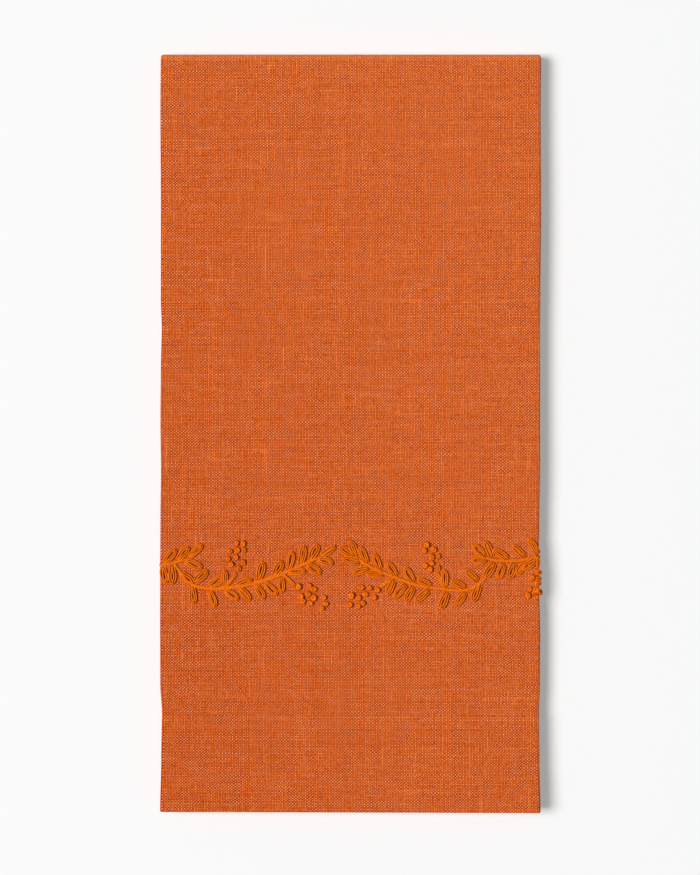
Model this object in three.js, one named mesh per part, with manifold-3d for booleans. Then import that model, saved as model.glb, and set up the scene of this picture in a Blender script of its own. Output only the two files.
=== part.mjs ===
// A linen guest towel, folded in thirds across and then in half, with an embroidered leaf and berry border.
// Millimetres. +Z is up, +Y runs from the hem edge to the half fold, +X is to the right of the border.
// The origin lies on the table under the middle of the folded towel.
import * as THREE from "three";
import { mergeVertices } from "three/addons/utils/BufferGeometryUtils.js";
import Module from "manifold-3d";

// Folded size, and how far each side flap reaches in under the front
const FOLDED_WIDTH = 127;
const FOLDED_LENGTH = 254;
const TUCKED_FLAP = 107;
const COVER_FLAP = 122;

// The cloth, doubled and a little thicker along the hem
const CLOTH = 1.0;
const HEM_CLOTH = 1.1;
const HEM_DEPTH = 32.5;
const HEM_STEP = 3;
const LAYER_GAP = 0.3;

// How the layers miss each other at the hem edge: positive lies further from that edge
const BACK_SET_BACK = 1.4;
const TUCKED_LAG = 1.0;
const COVER_LAG = 0.6;
const HEM_TILT = 0.35;

// How far the two side folds wander from a straight line, because linen is pressed by hand.
// up: distance above the hem edge. left, right: shift of each fold, positive towards +X.
// The hem's stitching draws both folds in about 33 mm up.
const EDGE_ROWS = [
  { up: 0, left: -0.25, right: 0.05 },
  { up: 18, left: 0.1, right: -0.27 },
  { up: 33, left: 0.3, right: -0.4 },
  { up: 43, left: -0.25, right: -0.05 },
  { up: 58, left: -0.3, right: 0.0 },
  { up: 82, left: -0.3, right: -0.5 },
  { up: 98, left: -0.2, right: -0.3 },
  { up: 115, left: 0.0, right: -0.05 },
  { up: 131, left: -0.2, right: -0.05 },
  { up: 147, left: -0.05, right: -0.05 },
  { up: 162, left: 0.25, right: -0.05 },
  { up: 172, left: -0.05, right: 0.05 },
  { up: 203, left: -0.05, right: 0.3 },
  { up: 236, left: -0.2, right: 0.15 },
  { up: 254, left: -0.1, right: 0.3 },
];

// How finely each stretch of the folded sheet is cut into facets
const FRONT_PIECES = 10;
const FLAP_PIECES = 4;
const SIDE_FOLD_PIECES = 6;
const HALF_FOLD_PIECES = 10;

// How the cut edge at the hem is rounded: share of the cloth's thickness at a distance from the edge
const EDGE_ROUND = [
  { up: 0, share: 0.45 },
  { up: 0.18, share: 0.8 },
  { up: 0.5, share: 1 },
];

// The border's thread: stems, leaves worked as loops, and berries worked as knots
const STITCH_GAP = 0.3;
const STEM_RADIUS = 0.62;
const SPRIG_RADIUS = 0.45;
const LEAF_LENGTH = 6.5;
const LEAF_WIDTH = 2.8;
const LEAF_HEIGHT = 1.1;
const KNOT_RADIUS = 1.1;
const KNOT_HEIGHT = 1.4;
const KNOT_START = 1.1;
const KNOT_ROW_PITCH = 2.1;

// A leaf's outline from its foot to its tip: share of its length, and share of its width there
const LEAF_OUTLINE = [
  { along: 0, wide: 0 },
  { along: 0.16, wide: 0.5 },
  { along: 0.6, wide: 1 },
  { along: 0.86, wide: 0.78 },
  { along: 1, wide: 0 },
];

// The stitched chart. Each garland is a long spray and a short one that runs on round the side fold.
// stem: points on the cloth from the foot to the tip.
// above, below: distance of each leaf's foot along the stem, and how far it leans from it in degrees.
// berries: where a sprig leaves the stem, its heading and length, the way its bunch hangs, and in
// rows how far each knot of that bunch lies to the left of that way.
const GARLANDS = [
  {
    name: "left_garland",
    sprays: [
      {
        stem: [
          { x: -59.3, y: -43.6 },
          { x: -57, y: -46.4 },
          { x: -53.3, y: -50.4 },
          { x: -46, y: -52 },
          { x: -37, y: -51.1 },
          { x: -29.5, y: -49.4 },
          { x: -22, y: -46.6 },
          { x: -15, y: -43.5 },
          { x: -9.6, y: -41 },
        ],
        above: {
          at: [3, 9.5, 14.5, 20.5, 23.5, 32, 37, 42.5, 47, 50.5, 54],
          lean: [5, 70, 40, 82, 15, 63, 36, 53, 52, 43, 8],
        },
        below: {
          at: [9.5, 15, 20, 25, 30.5, 33.5, 40, 41.5, 48.5, 52.5],
          lean: [62, 59, 42, 53, 67, 62, 110, 14, 51, 35],
        },
        berries: [
          {
            at: 20.5,
            heading: 52,
            length: 6.6,
            toward: 95,
            rows: [[-0.9], [-2.5, 1.6], [-0.3, 2.4], [-3.1, -1, 1.5], [-3, -0.9]],
          },
          {
            at: 40.5,
            heading: -43,
            length: 6.2,
            toward: -36,
            rows: [[0.4], [-1.8, 2.8], [-2.7, 0.3, 2.8], [-1.8, 0.4], [2.5], [-0.8, 1.2]],
          },
        ],
      },
      {
        stem: [
          { x: -62.8, y: -44 },
          { x: -59.4, y: -43.4 },
          { x: -56.3, y: -42.4 },
          { x: -54.4, y: -41.9 },
        ],
        above: { at: [0.5, 4.5, 8.5], lean: [42, 35, 30] },
        below: { at: [0.5, 3, 7], lean: [88, 97, 39] },
        berries: [],
      },
    ],
  },
  {
    name: "right_garland",
    sprays: [
      {
        stem: [
          { x: 46.4, y: -46.9 },
          { x: 43.3, y: -50.1 },
          { x: 40.5, y: -51.9 },
          { x: 35.7, y: -52.6 },
          { x: 30, y: -52 },
          { x: 23.4, y: -51.1 },
          { x: 16.7, y: -48.9 },
          { x: 10, y: -46.2 },
          { x: 5.3, y: -43.9 },
          { x: 1.3, y: -41.2 },
        ],
        above: {
          at: [4.5, 9, 17, 20.5, 27, 33, 39, 44, 48, 49],
          lean: [84, 38, 84, 22, 39, 34, 40, 37, 30, -3],
        },
        below: {
          at: [4, 9.5, 15.5, 21.5, 27, 29.5, 34, 37, 42.5, 46],
          lean: [20, 46, 69, 47, 74, 64, 84, 21, 40, 24],
        },
        berries: [
          {
            at: 17,
            heading: 114,
            length: 6.3,
            toward: 100,
            rows: [[-0.8, 2], [1.2, 3.4], [-1.4, 0.8], [-0.4, 2.8], [1.8]],
          },
          {
            at: 34.5,
            heading: 216,
            length: 6,
            toward: 212,
            rows: [[0.4], [-1.6, 1.9], [-3.2, -0.6], [-0.7, 1.6], [-2.6, 1.5], [-0.4]],
          },
        ],
      },
      {
        stem: [
          { x: 62.4, y: -41.5 },
          { x: 58.9, y: -42.1 },
          { x: 53.9, y: -42.7 },
          { x: 48, y: -42.4 },
          { x: 44.9, y: -41.7 },
        ],
        above: { at: [0.4, 3.5, 9, 15, 17], lean: [62, 52, 35, 63, 28] },
        below: { at: [3.5, 7.5, 11, 13.8, 16], lean: [47, 65, 70, 60, 20] },
        berries: [
          {
            at: 0.2,
            heading: 270,
            length: 3.6,
            toward: 256,
            rows: [[0], [-1.1, 0.4], [0.8], [-0.9, 1.2], [-1, 1.6]],
          },
        ],
      },
    ],
  },
];

const LINEN_COLOUR = 0xcc602c;
const THREAD_COLOUR = 0xe6760c;

const radians = THREE.MathUtils.degToRad;
const lerp = THREE.MathUtils.lerp;
const smoothstep = THREE.MathUtils.smoothstep;

const wasm = await Module();
wasm.setup();

// The same small unevenness each time, from -1 to 1, for a stitch of that number
function wobble(number) {
  const spread = Math.sin(number * 12.9898) * 43758.5453;
  return 2 * (spread - Math.floor(spread)) - 1;
}

// Half the height of the folded pile, which is three layers and the gaps beside them
function halfHeight(layer) {
  return 3 * layer + 2.5 * LAYER_GAP;
}

// Thickness of the cloth at a distance above the hem edge
function layerAt(up) {
  return lerp(HEM_CLOTH, CLOTH, smoothstep(up, HEM_DEPTH - HEM_STEP / 2, HEM_DEPTH + HEM_STEP / 2));
}

// Where the two side folds lie at a distance above the hem edge
function edgesAt(up) {
  const next = Math.max(1, EDGE_ROWS.findIndex((row) => row.up >= up));
  const [low, high] = [EDGE_ROWS[next - 1], EDGE_ROWS[next]];
  const share = smoothstep(up, low.up, high.up);
  return {
    left: -FOLDED_WIDTH / 2 + lerp(low.left, high.left, share),
    right: FOLDED_WIDTH / 2 + lerp(low.right, high.right, share),
  };
}

// The closed outline of the three layers of one half, cut across the towel.
// x runs across, h is the distance from the plane on which the two halves meet, and
// lag is how far the cloth there lies from the hem edge.
// The tucked flap comes first, then the left fold, the front, the right fold and the cover flap.
function layerOutline({ left, right, layer, thickness }) {
  const pitch = layer + LAYER_GAP;
  const coverHeight = (LAYER_GAP + layer) / 2;
  const tuckedHeight = coverHeight + pitch;
  const frontHeight = tuckedHeight + pitch;
  const leftRadius = pitch / 2;
  const rightRadius = pitch;
  const leftX = left + leftRadius + layer / 2;
  const rightX = right - rightRadius - layer / 2;
  const tuckedEnd = left + TUCKED_FLAP;
  const coverEnd = right - COVER_FLAP;

  const centre = [];
  const straight = (from, to, h, facing, pieces, lagFrom, lagTo) => {
    for (let i = 0; i <= pieces; i++) {
      const share = i / pieces;
      centre.push({ x: lerp(from, to, share), h, nx: 0, nh: facing, lag: lerp(lagFrom, lagTo, share) });
    }
  };
  const fold = (x, h, radius, from, to, lag) => {
    for (let i = 1; i < SIDE_FOLD_PIECES; i++) {
      const angle = radians(lerp(from, to, i / SIDE_FOLD_PIECES));
      const [nx, nh] = [Math.cos(angle), Math.sin(angle)];
      centre.push({ x: x + radius * nx, h: h + radius * nh, nx, nh, lag });
    }
  };
  straight(tuckedEnd, leftX, tuckedHeight, -1, FLAP_PIECES, TUCKED_LAG, HEM_TILT / 2);
  fold(leftX, (tuckedHeight + frontHeight) / 2, leftRadius, -90, -270, HEM_TILT / 2);
  straight(leftX, rightX, frontHeight, 1, FRONT_PIECES, HEM_TILT / 2, -HEM_TILT / 2);
  fold(rightX, (coverHeight + frontHeight) / 2, rightRadius, 90, -90, -HEM_TILT / 2);
  straight(rightX, coverEnd, coverHeight, -1, FLAP_PIECES, -HEM_TILT / 2, COVER_LAG);

  const side = (sign) =>
    centre.map((p) => ({
      x: p.x + (sign * p.nx * thickness) / 2,
      h: p.h + (sign * p.nh * thickness) / 2,
      lag: p.lag,
    }));
  const nose = thickness * 0.35;
  return [
    ...side(1),
    { x: coverEnd - nose, h: coverHeight, lag: COVER_LAG },
    ...side(-1).reverse(),
    { x: tuckedEnd + nose, h: tuckedHeight, lag: TUCKED_LAG },
  ];
}

// Distances above the hem edge where one half is cut: the rounded edge, the hem's step and the edge rows
function halfStations(length) {
  const rows = EDGE_ROWS.map((row) => row.up).filter((up) => up > 0 && up < length);
  const step = [HEM_DEPTH - HEM_STEP / 2, HEM_DEPTH + HEM_STEP / 2];
  const body = [...rows, ...step, length].sort((a, b) => a - b);
  return [...EDGE_ROUND, ...body.map((up) => ({ up, share: 1 }))];
}

// The folded cloth: the outline carried up the back half, round the half fold and down the front half
function foldedCloth() {
  const axisHeight = halfHeight(CLOTH);
  const axisY = FOLDED_LENGTH / 2 - axisHeight;
  const rings = [];
  const addHalf = (side, hemY, stations) => {
    const length = axisY - hemY;
    for (const { up, share } of stations) {
      const layer = layerAt(up);
      const outline = layerOutline({ ...edgesAt(up), layer, thickness: layer * share });
      const middle = halfHeight(layer);
      rings.push(
        outline.map((p) => [p.x, hemY + up + side * p.lag * (1 - up / length), middle + side * p.h]),
      );
    }
  };
  const frontHemY = (HEM_TILT - FOLDED_LENGTH) / 2;
  const backHemY = frontHemY + BACK_SET_BACK;
  addHalf(-1, backHemY, halfStations(axisY - backHemY));
  const foldOutline = layerOutline({ ...edgesAt(axisY - frontHemY), layer: CLOTH, thickness: CLOTH });
  for (let i = 1; i < HALF_FOLD_PIECES; i++) {
    const angle = radians(lerp(-90, 90, i / HALF_FOLD_PIECES));
    rings.push(
      foldOutline.map((p) => [p.x, axisY + p.h * Math.cos(angle), axisHeight + p.h * Math.sin(angle)]),
    );
  }
  addHalf(1, frontHemY, halfStations(axisY - frontHemY).reverse());

  const size = foldOutline.length;
  const faces = [];
  for (let ring = 0; ring + 1 < rings.length; ring++) {
    for (let i = 0; i < size; i++) {
      const a = ring * size + i;
      const b = ring * size + ((i + 1) % size);
      faces.push(a, b + size, b, a, a + size, b + size);
    }
  }
  const flat = foldOutline.map((p) => new THREE.Vector2(p.x, p.h));
  const lastRing = (rings.length - 1) * size;
  for (const [a, b, c] of THREE.ShapeUtils.triangulateShape(flat, [])) {
    faces.push(a, c, b, lastRing + a, lastRing + b, lastRing + c);
  }
  const geometry = new THREE.BufferGeometry();
  geometry.setAttribute("position", new THREE.Float32BufferAttribute(rings.flat(2), 3));
  geometry.setIndex(faces);
  return geometry;
}

// A geometry as a solid that can be joined to others
function solidOf(geometry) {
  geometry.deleteAttribute("normal");
  geometry.deleteAttribute("uv");
  const merged = mergeVertices(geometry, 1e-4);
  return new wasm.Manifold(
    new wasm.Mesh({
      numProp: 3,
      vertProperties: merged.attributes.position.array,
      triVerts: new Uint32Array(merged.index.array),
    }),
  );
}

function geometryOf(solid) {
  const mesh = solid.getMesh();
  const geometry = new THREE.BufferGeometry();
  geometry.setAttribute("position", new THREE.BufferAttribute(mesh.vertProperties, 3));
  geometry.setIndex(new THREE.BufferAttribute(mesh.triVerts, 1));
  return geometry;
}

// The height on which the border's thread lies, just above the front
const STITCH_FLOOR = 2 * halfHeight(CLOTH) + STITCH_GAP;

function curveThrough(points, z) {
  const places = points.map(({ x, y }) => new THREE.Vector3(x, y, z));
  return new THREE.CatmullRomCurve3(places, false, "catmullrom");
}

// A round thread that lies on the front
function thread(points, radius, steps) {
  const corners = Array.from({ length: 6 }, (_, i) => {
    const angle = (i * Math.PI) / 3;
    return new THREE.Vector2(radius * Math.cos(angle), radius * Math.sin(angle));
  });
  const extrudePath = curveThrough(points, STITCH_FLOOR + radius);
  return solidOf(
    new THREE.ExtrudeGeometry(new THREE.Shape(corners), { steps, bevelEnabled: false, extrudePath }),
  );
}

// One leaf: a loop of thread, drop shaped and flattened, from its foot to its tip
function leaf(foot, heading, length) {
  const profile = LEAF_OUTLINE.map(
    ({ along, wide }) => new THREE.Vector2((LEAF_WIDTH / 2) * wide, along * length),
  );
  const geometry = new THREE.LatheGeometry(profile, 6);
  geometry.scale(1, 1, LEAF_HEIGHT / LEAF_WIDTH);
  geometry.rotateZ(heading - Math.PI / 2);
  geometry.translate(foot.x, foot.y, STITCH_FLOOR + LEAF_HEIGHT / 2);
  return solidOf(geometry);
}

// One berry: a knot of thread
function knot({ x, y }) {
  const geometry = new THREE.SphereGeometry(KNOT_RADIUS, 7, 4);
  geometry.rotateX(Math.PI / 2);
  geometry.scale(1, 1, KNOT_HEIGHT / 2 / KNOT_RADIUS);
  geometry.translate(x, y, STITCH_FLOOR + KNOT_HEIGHT / 2);
  return solidOf(geometry);
}

// Where the knots of one bunch lie: in rows across the way that it hangs
function bunchPlaces(start, toward, rows, number) {
  const [along, across] = [Math.cos(radians(toward)), Math.sin(radians(toward))];
  const places = [];
  rows.forEach((asides, row) => {
    for (const aside of asides) {
      const forward = KNOT_START + KNOT_ROW_PITCH * (row + 0.2 * wobble(number * 40 + places.length));
      places.push({
        x: start.x + along * forward - across * aside,
        y: start.y + across * forward + along * aside,
      });
    }
  });
  return places;
}

// One spray: its stem, the leaves on both sides, and its sprigs with their bunches.
// The upper side is to the left of a stem that runs to the right, and else to its right.
function spray({ stem, above, below, berries }, number) {
  const curve = curveThrough(stem, 0);
  const length = curve.getLength();
  const upper = stem[stem.length - 1].x > stem[0].x ? 1 : -1;
  const pieces = [thread(stem, STEM_RADIUS, Math.round(length / 2.6))];
  const addLeaves = ({ at, lean }, side) => {
    at.forEach((distance, i) => {
      const share = Math.min(0.99, distance / length);
      const tangent = curve.getTangentAt(share);
      const heading = Math.atan2(tangent.y, tangent.x) + side * radians(lean[i]);
      const size = LEAF_LENGTH * (1 + 0.08 * wobble(number * 100 + side * 30 + i));
      pieces.push(leaf(curve.getPointAt(share), heading, size));
    });
  };
  addLeaves(above, upper);
  addLeaves(below, -upper);
  berries.forEach(({ at, heading, length: reach, toward, rows }, index) => {
    const start = curve.getPointAt(at / length);
    const end = {
      x: start.x + reach * Math.cos(radians(heading)),
      y: start.y + reach * Math.sin(radians(heading)),
    };
    pieces.push(thread([start, end], SPRIG_RADIUS, 2));
    const places = bunchPlaces(end, toward, rows, number * 2 + index);
    places.forEach((place, i) => {
      pieces.push(knot(place), thread([i ? places[i - 1] : end, place], SPRIG_RADIUS, 1));
    });
  });
  return pieces;
}

const towel = new THREE.Group();

const linen = new THREE.MeshStandardMaterial({ color: LINEN_COLOUR, roughness: 0.9, metalness: 0 });
const cloth = new THREE.Mesh(foldedCloth(), linen);
cloth.name = "folded_cloth";
towel.add(cloth);

GARLANDS.forEach(({ name, sprays }, side) => {
  const stitches = sprays.flatMap((row, index) => spray(row, side * 2 + index + 1));
  const floss = new THREE.MeshStandardMaterial({ color: THREAD_COLOUR, roughness: 0.6, metalness: 0 });
  const garland = new THREE.Mesh(geometryOf(wasm.Manifold.union(stitches)), floss);
  garland.name = name;
  towel.add(garland);
});

export default towel;
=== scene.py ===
# %% [markdown]
# # A folded linen guest towel
# The object is one piece of orange linen with a deep hem at each end. It is folded in thirds across and
# then in half, and it lies face up. A garland of leaves and berries is stitched over its lower front in
# thick thread. This lesson builds the cloth as one thin sheet that follows every fold, weaves it with
# shader nodes, and then works the border stitch by stitch as real strands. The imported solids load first:
# they fix size and place.

# %% Load the frame
import math

import bpy
import numpy as np
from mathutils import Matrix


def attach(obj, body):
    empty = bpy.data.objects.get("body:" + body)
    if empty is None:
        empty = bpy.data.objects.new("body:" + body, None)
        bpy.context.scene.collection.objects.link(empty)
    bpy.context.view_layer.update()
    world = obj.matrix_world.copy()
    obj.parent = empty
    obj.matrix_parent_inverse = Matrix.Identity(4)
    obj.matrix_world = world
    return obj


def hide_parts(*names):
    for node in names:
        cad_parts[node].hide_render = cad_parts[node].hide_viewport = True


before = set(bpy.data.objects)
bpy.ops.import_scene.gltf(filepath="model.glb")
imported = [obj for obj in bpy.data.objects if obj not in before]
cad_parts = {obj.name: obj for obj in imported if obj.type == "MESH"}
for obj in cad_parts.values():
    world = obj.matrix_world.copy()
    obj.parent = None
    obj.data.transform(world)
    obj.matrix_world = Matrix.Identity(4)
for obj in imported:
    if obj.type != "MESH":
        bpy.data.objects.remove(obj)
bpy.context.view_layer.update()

# %% [markdown]
# ## Where every layer lies
# Folded cloth is a back-and-forth section. Here a flap is tucked in from the left, a wider flap covers it
# from the right, and the whole strip is then folded in half so that its two ends meet at the hem edge. A
# cloth simulation could drape such a fold, but pressed linen hardly moves, so the layers are placed by
# arithmetic and stay exactly where the solid has them. All sizes below are in millimetres.

# %% Sizes of the fold
MM = 0.001
FOLDED_WIDTH = 127.0
FOLDED_LENGTH = 254.0
TUCKED_FLAP = 107.0
COVER_FLAP = 122.0
LAYER = 1.0
HEM_LAYER = 1.1
LAYER_GAP = 0.3
LINEN = 0.74
HEM_LINEN = 0.94
HEM_DEPTH = 32.5
HEM_STEP = 3.0
BACK_SET_BACK = 1.4
TUCKED_LAG = 1.0
COVER_LAG = 0.6
HEM_TILT = 0.35
FRONT_HEM_Y = (HEM_TILT - FOLDED_LENGTH) / 2
BACK_HEM_Y = FRONT_HEM_Y + BACK_SET_BACK
AXIS_Z = 3 * LAYER + 2.5 * LAYER_GAP
AXIS_Y = (FOLDED_LENGTH + LAYER - LINEN) / 2 - AXIS_Z
FRONT_LENGTH = AXIS_Y - FRONT_HEM_Y
BACK_LENGTH = AXIS_Y - BACK_HEM_Y
HALF_FOLD_FLAT = 12.0
FLAT_LENGTH = BACK_LENGTH + HALF_FOLD_FLAT + FRONT_LENGTH

# Distance above the hem edge, and shift of the left and of the right fold there
EDGE_ROWS = np.array([
    (0, -0.25, 0.05), (18, 0.1, -0.27), (33, 0.3, -0.4), (43, -0.25, -0.05), (58, -0.3, 0.0),
    (82, -0.3, -0.5), (98, -0.2, -0.3), (115, 0.0, -0.05), (131, -0.2, -0.05), (147, -0.05, -0.05),
    (162, 0.25, -0.05), (172, -0.05, 0.05), (203, -0.05, 0.3), (236, -0.2, 0.15), (254, -0.1, 0.3),
])


def smooth(value, low, high):
    share = np.clip((value - low) / (high - low), 0.0, 1.0)
    return share * share * (3.0 - 2.0 * share)


def run_along(points):
    return np.concatenate([[0.0], np.cumsum(np.linalg.norm(np.diff(points, axis=0), axis=1))])


def side_edges(up):
    row = np.clip(np.searchsorted(EDGE_ROWS[:, 0], up, side="right") - 1, 0, len(EDGE_ROWS) - 2)
    low, high = EDGE_ROWS[row], EDGE_ROWS[row + 1]
    share = smooth(up, low[..., 0], high[..., 0])
    left = -FOLDED_WIDTH / 2 + low[..., 1] + share * (high[..., 1] - low[..., 1])
    right = FOLDED_WIDTH / 2 + low[..., 2] + share * (high[..., 2] - low[..., 2])
    return left, right


def hem_share(up):
    return 1.0 - smooth(up, HEM_DEPTH - HEM_STEP / 2, HEM_DEPTH + HEM_STEP / 2)


def layer_room(up):
    return LAYER + (HEM_LAYER - LAYER) * hem_share(up)


def linen_thickness(up):
    return LINEN + (HEM_LINEN - LINEN) * hem_share(up)


print("pile height, mm:", 2 * AXIS_Z, "cloth length laid flat, mm:", round(FLAT_LENGTH, 1))

# %% [markdown]
# ## The shape of a pressed fold
# An iron leaves a side fold flatter than a half circle: the cloth stays level almost to the edge and then
# turns quickly. A squared half circle has that shape. It is kept as a row of points with their outward
# directions and their distance along the fold, so that both the cloth and the stitches on it can go round
# evenly.

# %% Squared half circles of the folds
LEFT_SQUARENESS = 0.7
RIGHT_SQUARENESS = 0.32
HALF_SQUARENESS = {"inside": 0.85, "outside": 0.5}


class Fold:
    def __init__(self, squareness):
        angle = np.linspace(0.0, math.pi, 241)
        out, rise = np.sin(angle), np.cos(angle)
        place = [np.abs(out) ** squareness, np.sign(rise) * np.abs(rise) ** squareness]
        facing = [np.abs(out) ** (2 - squareness), np.sign(rise) * np.abs(rise) ** (2 - squareness)]
        facing /= np.hypot(*facing)
        self.columns = [*place, *facing]
        self.along = np.concatenate([[0.0], np.cumsum(np.hypot(*np.diff(place, axis=1)))])
        self.length = self.along[-1]

    def at(self, distance):
        return [np.interp(distance, self.along, column) for column in self.columns]


LEFT_FOLD, RIGHT_FOLD = Fold(LEFT_SQUARENESS), Fold(RIGHT_SQUARENESS)
print("side folds, times their radius:", LEFT_FOLD.length.round(2), RIGHT_FOLD.length.round(2))

# %% [markdown]
# ## Soft troughs and ridges
# Ironed linen is never quite flat. The free end of the covered flap prints a faint line through the
# front, the turned-in edge of the hem raises a low band beside its stitching, and the panel keeps shallow
# waves. Each is a row with its own place, width and height, so it can be moved by hand; a noise texture
# would put them anywhere.

# %% Relief of the front
DRIFT_WAVE = 31.0
FINE_DRIFT_WAVE = 11.0
SWELL_WAVE = 43.0
# Which way the ridge runs, its middle, its half width and its height, and how far it wanders
RIDGES = [
    ("up", -60.6, 1.7, 0.10, 0.25),
    ("up", -57.9, 1.1, -0.13, 0.25),
    ("up", -41.0, 9.0, -0.10, 2.0),
    ("up", -17.0, 8.0, 0.09, 2.5),
    ("up", 9.0, 10.0, -0.08, 3.0),
    ("up", 36.0, 9.0, 0.08, 2.0),
    ("up", 56.0, 4.0, -0.06, 0.6),
    ("across", -96.2, 1.5, 0.11, 0.35),
    ("across", -92.9, 0.9, -0.08, 0.2),
    ("across", -66.0, 9.0, 0.05, 2.0),
    ("across", 4.0, 12.0, -0.06, 3.0),
    ("across", 62.0, 14.0, 0.06, 3.0),
    ("across", 104.0, 9.0, -0.04, 2.0),
]


def relief(x, y):
    height = np.zeros(np.broadcast(x, y).shape)
    for number, (run, middle, width, rise, wander) in enumerate(RIDGES):
        along, over = (y, x) if run == "up" else (x, y)
        drift = wander * np.sin(along / DRIFT_WAVE + 1.7 * number)
        drift = drift + 0.4 * wander * np.sin(along / FINE_DRIFT_WAVE + number)
        swell = 0.75 + 0.25 * np.sin(along / SWELL_WAVE + 2.3 * number)
        height = height + rise * swell * np.exp(-(((over - middle - drift) / width) ** 2))
    return height


grid_x, grid_y = np.meshgrid(np.linspace(-60, 60, 41), np.linspace(-120, 120, 81))
print("front relief, mm:", relief(grid_x, grid_y).min().round(2), relief(grid_x, grid_y).max().round(2))

# %% [markdown]
# ## The cloth's middle line across the towel
# Each cut across the towel is the same chain: tucked flap, left fold, front, right fold, cover flap. The
# chain is kept as points with a place, a direction that faces out of the cloth, and how far that point of
# the hem lags behind the edge. The front has the most points because it is what is seen.

# %% One cut across the folded strip
FLAP_STEPS = 14
FRONT_STEPS = 84
FOLD_STEPS = 22


def cut_across(up):
    left, right = side_edges(np.array(up))
    pitch = layer_room(up) + LAYER_GAP
    heights = {"cover": 0.5 * pitch, "tucked": 1.5 * pitch, "front": 2.5 * pitch}
    left_x = left + 0.5 * pitch + linen_thickness(up) / 2
    right_x = right - pitch - linen_thickness(up) / 2
    chain = []

    def straight(start, end, height, facing, steps, lag_start, lag_end):
        for share in np.linspace(0.0, 1.0, steps + 1):
            lag = lag_start + share * (lag_end - lag_start)
            chain.append((start + share * (end - start), height, 0.0, facing, lag))

    def fold(shape, x, height, radius, way, lag, shares):
        for share in shares[1:-1]:
            out, rise, facing_out, facing_up = shape.at(share * shape.length)
            chain.append((x + way * radius * out, height + radius * rise, way * facing_out, facing_up, lag))

    down = np.linspace(0.0, 1.0, FOLD_STEPS + 1)

    straight(left + TUCKED_FLAP, left_x, heights["tucked"], -1, FLAP_STEPS, TUCKED_LAG, HEM_TILT / 2)
    fold(LEFT_FOLD, left_x, 2.0 * pitch, 0.5 * pitch, -1, HEM_TILT / 2, down[::-1])
    straight(left_x, right_x, heights["front"], 1, FRONT_STEPS, HEM_TILT / 2, -HEM_TILT / 2)
    fold(RIGHT_FOLD, right_x, 1.5 * pitch, pitch, 1, -HEM_TILT / 2, down)
    straight(right_x, right - COVER_FLAP, heights["cover"], -1, FLAP_STEPS, -HEM_TILT / 2, COVER_LAG)
    return np.array(chain)


sample_cut = cut_across(120.0)
FLAT_ACROSS = run_along(sample_cut[:, :2])
print("points in one cut:", len(sample_cut), "cloth width laid flat, mm:", FLAT_ACROSS[-1].round(1))

# %% [markdown]
# ## Layers that rest unevenly
# Real layers don't lie evenly. Each one sags by its own little wave, and the whole front half rests on
# the back half in slow waves, sinks a little in the middle of the hem and lifts at the hem's corners. The
# waves stay smaller than the gaps between the layers, and they die out near the half fold.

# %% Waves of the layers
LAYER_PITCH = LAYER + LAYER_GAP
SAG = {"broad": 0.03, "fine": 0.02}
FRONT_LIFT = 0.08
# Height, length along and across the towel, and phase of each wave
REST_WAVES = [(0.15, 41.0, math.inf, 0.6), (0.12, 17.0, 60.0, 2.1), (0.07, 9.0, 25.0, 0.0)]
HEM_REST = {"reach": 14.0, "sink": 0.16, "lift": 0.4, "corner": (30.0, 64.0)}
CALM_REACH = 12.0


def layer_sag(x, y, height, side):
    phase = 2.1 * np.round(height / LAYER_PITCH) + (0.0 if side > 0 else 1.3)
    broad = np.sin(x / 17.0 + phase) * np.sin(y / 23.0 + 1.9 * phase)
    return SAG["broad"] * broad + SAG["fine"] * np.sin(x / 7.5 + y / 9.0 + phase)


def front_rest(x, y):
    waves = sum(high * np.sin(y / along + x / across + phase) for high, along, across, phase in REST_WAVES)
    at_hem = np.exp(-(((y - FRONT_HEM_Y) / HEM_REST["reach"]) ** 2))
    hem = HEM_REST["sink"] - HEM_REST["lift"] * smooth(np.abs(x), *HEM_REST["corner"])
    return FRONT_LIFT + waves - at_hem * hem


def calm_by_fold(to_fold):
    return smooth(to_fold, 0.0, CALM_REACH)


rest = front_rest(grid_x, grid_y)
print("rest of the front half, mm:", rest.min().round(2), "to", rest.max().round(2))

# %% [markdown]
# ## Carry the cut round the half fold
# The cut is carried up the back half, round the half fold and down the front half. Every point becomes
# two, one on each face of the linen, half a thickness apart, and the last few rows at each hem edge close
# in to a round nose. Inner layers turn rounder than outer ones, and all take even steps along their own
# turn. The flat place of each point is kept as a UV map in millimetres, so that the weave runs on
# unbroken round every fold.

# %% Rows along the towel
FRONT_ROW = 1.5
BACK_ROW = 4.5
HALF_FOLD_STEPS = 20
# Distance above the hem edge and share of the thickness there
NOSE_ROWS = [(0.0, 0.42), (0.14, 0.78), (0.4, 1.0)]


def half_rows(length, row):
    body = np.linspace(1.0, length, int(round(length / row)))
    return NOSE_ROWS + [(up, 1.0) for up in body]


def half_row(up, share, side):
    x, height, nx, facing, lag = cut_across(up).T
    hem_y, length = (FRONT_HEM_Y, FRONT_LENGTH) if side > 0 else (BACK_HEM_Y, BACK_LENGTH)
    y = hem_y + up + side * lag * (1.0 - up / length)
    pile_middle = 3 * layer_room(up) + 2.5 * LAYER_GAP
    calm = calm_by_fold(length - up)
    inner = layer_sag(x, y, height, side) * calm * (1.0 - np.clip(facing, 0, 1))
    outer = relief(x, y) * calm * np.clip(facing, 0, 1) if side > 0 else 0.0
    rest = front_rest(x, y) * calm if side > 0 else 0.0
    z = pile_middle + side * height + inner + outer + rest
    middle = np.stack([x, y, z], axis=1)
    normal = np.stack([nx, np.zeros_like(nx), side * facing], axis=1)
    return middle, normal, linen_thickness(up) * share


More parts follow.
